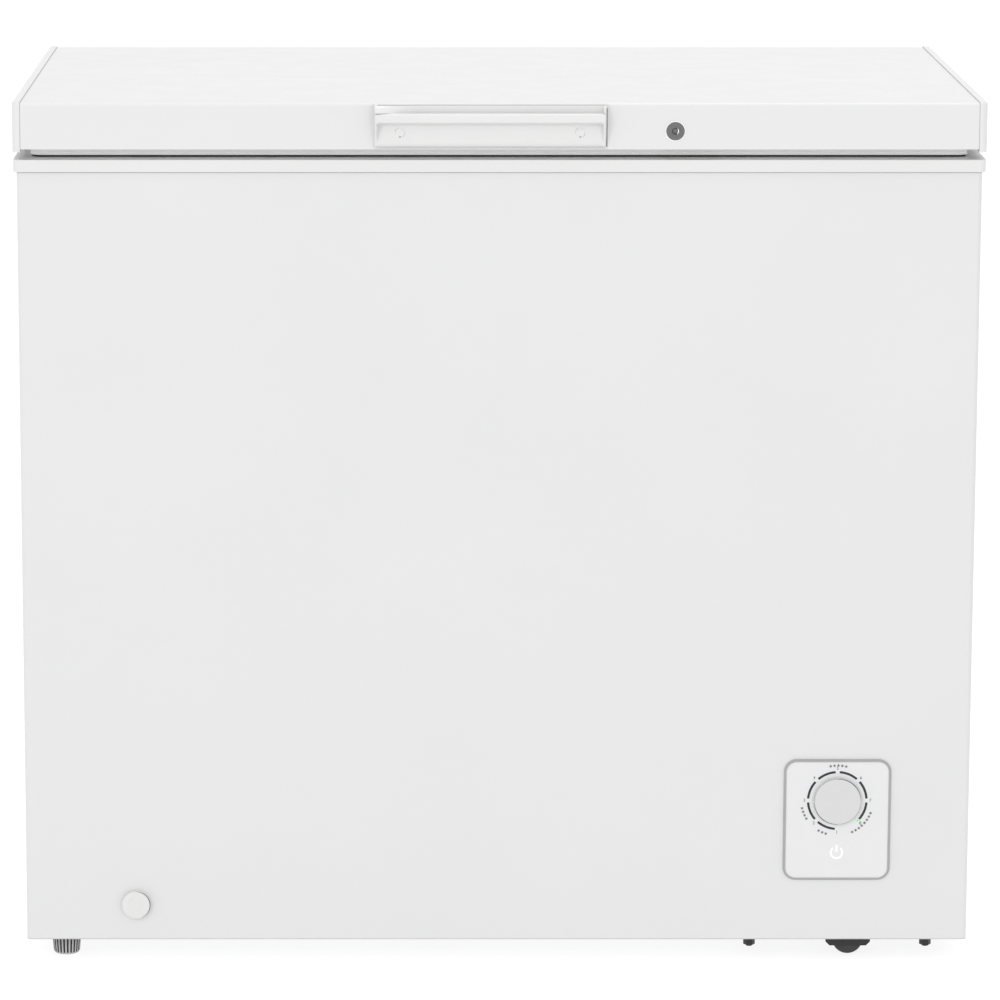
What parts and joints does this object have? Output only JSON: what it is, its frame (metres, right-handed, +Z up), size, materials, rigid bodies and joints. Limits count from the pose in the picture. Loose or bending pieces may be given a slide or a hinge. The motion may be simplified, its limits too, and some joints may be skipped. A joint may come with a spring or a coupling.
{
  "type": "chest freezer",
  "caption": "White top-opening chest freezer with a hinged foamed lid, front grip and lock, thermostat dial panel, drain, levelling feet, rollers and a hanging wire basket.",
  "frame": {"origin": "on the floor, under the middle of the overall box", "axes": "+X along the front towards the compressor end, +Y to the back where the hinges are, +Z up; the front faces -Y"},
  "size_m": [0.932, 0.565, 0.85],
  "materials": {
    "cabinet_paint": "gloss",
    "lid_paint": "gloss",
    "rear_steel": "satin",
    "tray_steel": "satin",
    "zinc_steel": "satin",
    "hinge_steel": "satin",
    "insulation": "matte",
    "liner_sheet": "satin",
    "lid_liner_plastic": "satin",
    "rim_plastic": "satin",
    "cap_plastic": "satin",
    "handle_plastic": "satin",
    "gasket_rubber": "matte",
    "panel_plastic": "satin",
    "label_film": "satin",
    "knob_plastic": "satin",
    "grey_plastic": "matte",
    "lamp_plastic": "satin",
    "light_plastic": "satin",
    "steel_shaft": "satin",
    "drain_plastic": "satin",
    "foot_plastic": "matte",
    "roller_plastic": "matte",
    "bracket_steel": "satin",
    "black_enamel": "gloss",
    "mount_rubber": "matte",
    "copper_tube": "satin",
    "grille_plastic": "matte",
    "lock_metal": "satin",
    "basket_wire": "gloss"
  },
  "bodies": {
    "cabinet": {"back_panel": "rear_steel", "base_pan": "rear_steel", "bay_panel": "rear_steel", "cabinet_foam": "insulation", "cabinet_screws": "zinc_steel", "cabinet_wrap": "cabinet_paint", "compressor": "black_enamel", "compressor_mounts": "mount_rubber", "compressor_tray": "tray_steel", "condenser_coil": "copper_tube", "control_panel": "panel_plastic", "cord_gland": "mount_rubber", "dial_label": "label_film", "drain_tube": "drain_plastic", "evaporator_coil": "copper_tube", "filter_drier": "copper_tube", "foot_inserts": "zinc_steel", "hinge_cabinet_leaf_left": "hinge_steel", "hinge_cabinet_leaf_right": "hinge_steel", "hinge_covers": "grille_plastic", "hinge_pins": "zinc_steel", "hinge_springs": "zinc_steel", "inner_liner": "liner_sheet", "position_lamps": "lamp_plastic", "power_light": "light_plastic", "refrigerant_lines": "copper_tube", "relay_cover": "grey_plastic", "rim_trim": "rim_plastic", "roller_axles": "bracket_steel", "roller_bracket_front": "bracket_steel", "roller_bracket_rear": "bracket_steel", "thermostat": "grey_plastic", "tray_bolts": "bracket_steel", "vent_grille": "grille_plastic"},
    "lid": {"lid_skin": "lid_paint", "lid_end_cap_left": "cap_plastic", "lid_end_cap_right": "cap_plastic", "lid_foam": "insulation", "lid_liner": "lid_liner_plastic", "lid_gasket": "gasket_rubber", "handle": "handle_plastic", "handle_screw_caps": "handle_plastic", "lid_screws": "zinc_steel", "lock_bezel": "handle_plastic", "lock_housing": "lock_metal", "lock_nut": "zinc_steel", "hinge_lid_leaf_left": "hinge_steel", "hinge_lid_leaf_right": "hinge_steel"},
    "lock": {"lock_cylinder": "lock_metal", "lock_cam": "lock_metal"},
    "knob": {"thermostat_knob": "knob_plastic", "thermostat_shaft": "steel_shaft"},
    "drain_dial": {"drain_dial": "drain_plastic"},
    "drain_plug": {"drain_plug": "drain_plastic"},
    "foot_front": {"levelling_foot_front": "foot_plastic"},
    "foot_rear": {"levelling_foot_rear": "foot_plastic"},
    "roller_front": {"roller_front": "roller_plastic"},
    "roller_rear": {"roller_rear": "roller_plastic"},
    "basket": {"basket": "basket_wire"}
  },
  "joints": [
    {"name": "lid_hinge", "type": "hinge", "parent": "cabinet", "child": "lid", "pos_m": [0, 0.2725, 0.8], "axis": [-1, 0, 0], "range_deg": [0, 80]},
    {"name": "lock_turn", "type": "hinge", "parent": "lid", "child": "lock", "pos_m": [0.1678, -0.2675, 0.8224], "axis": [0, 1, 0], "range_deg": [0, 90]},
    {"name": "thermostat_turn", "type": "hinge", "parent": "cabinet", "child": "knob", "pos_m": [0.3331, -0.2665, 0.1633], "axis": [0, -1, 0], "range_deg": [0, 315]},
    {"name": "drain_dial_pull", "type": "slide", "parent": "cabinet", "child": "drain_dial", "axis": [0, -1, 0], "range_m": [0, 0.02]},
    {"name": "drain_plug_lift", "type": "slide", "parent": "cabinet", "child": "drain_plug", "axis": [0, 0, 1], "range_m": [0, 0.04]},
    {"name": "foot_front_level", "type": "slide", "parent": "cabinet", "child": "foot_front", "axis": [0, 0, -1], "range_m": [0, 0.01]},
    {"name": "foot_rear_level", "type": "slide", "parent": "cabinet", "child": "foot_rear", "axis": [0, 0, -1], "range_m": [0, 0.01]},
    {"name": "roller_front_spin", "type": "hinge", "parent": "cabinet", "child": "roller_front", "pos_m": [0.348, -0.2315, 0.015], "axis": [0, 1, 0], "continuous": true},
    {"name": "roller_rear_spin", "type": "hinge", "parent": "cabinet", "child": "roller_rear", "pos_m": [0.348, 0.2265, 0.015], "axis": [0, 1, 0], "continuous": true},
    {"name": "basket_slide", "type": "slide", "parent": "cabinet", "child": "basket", "axis": [-1, 0, 0], "range_m": [0, 0.56]}
  ]
}
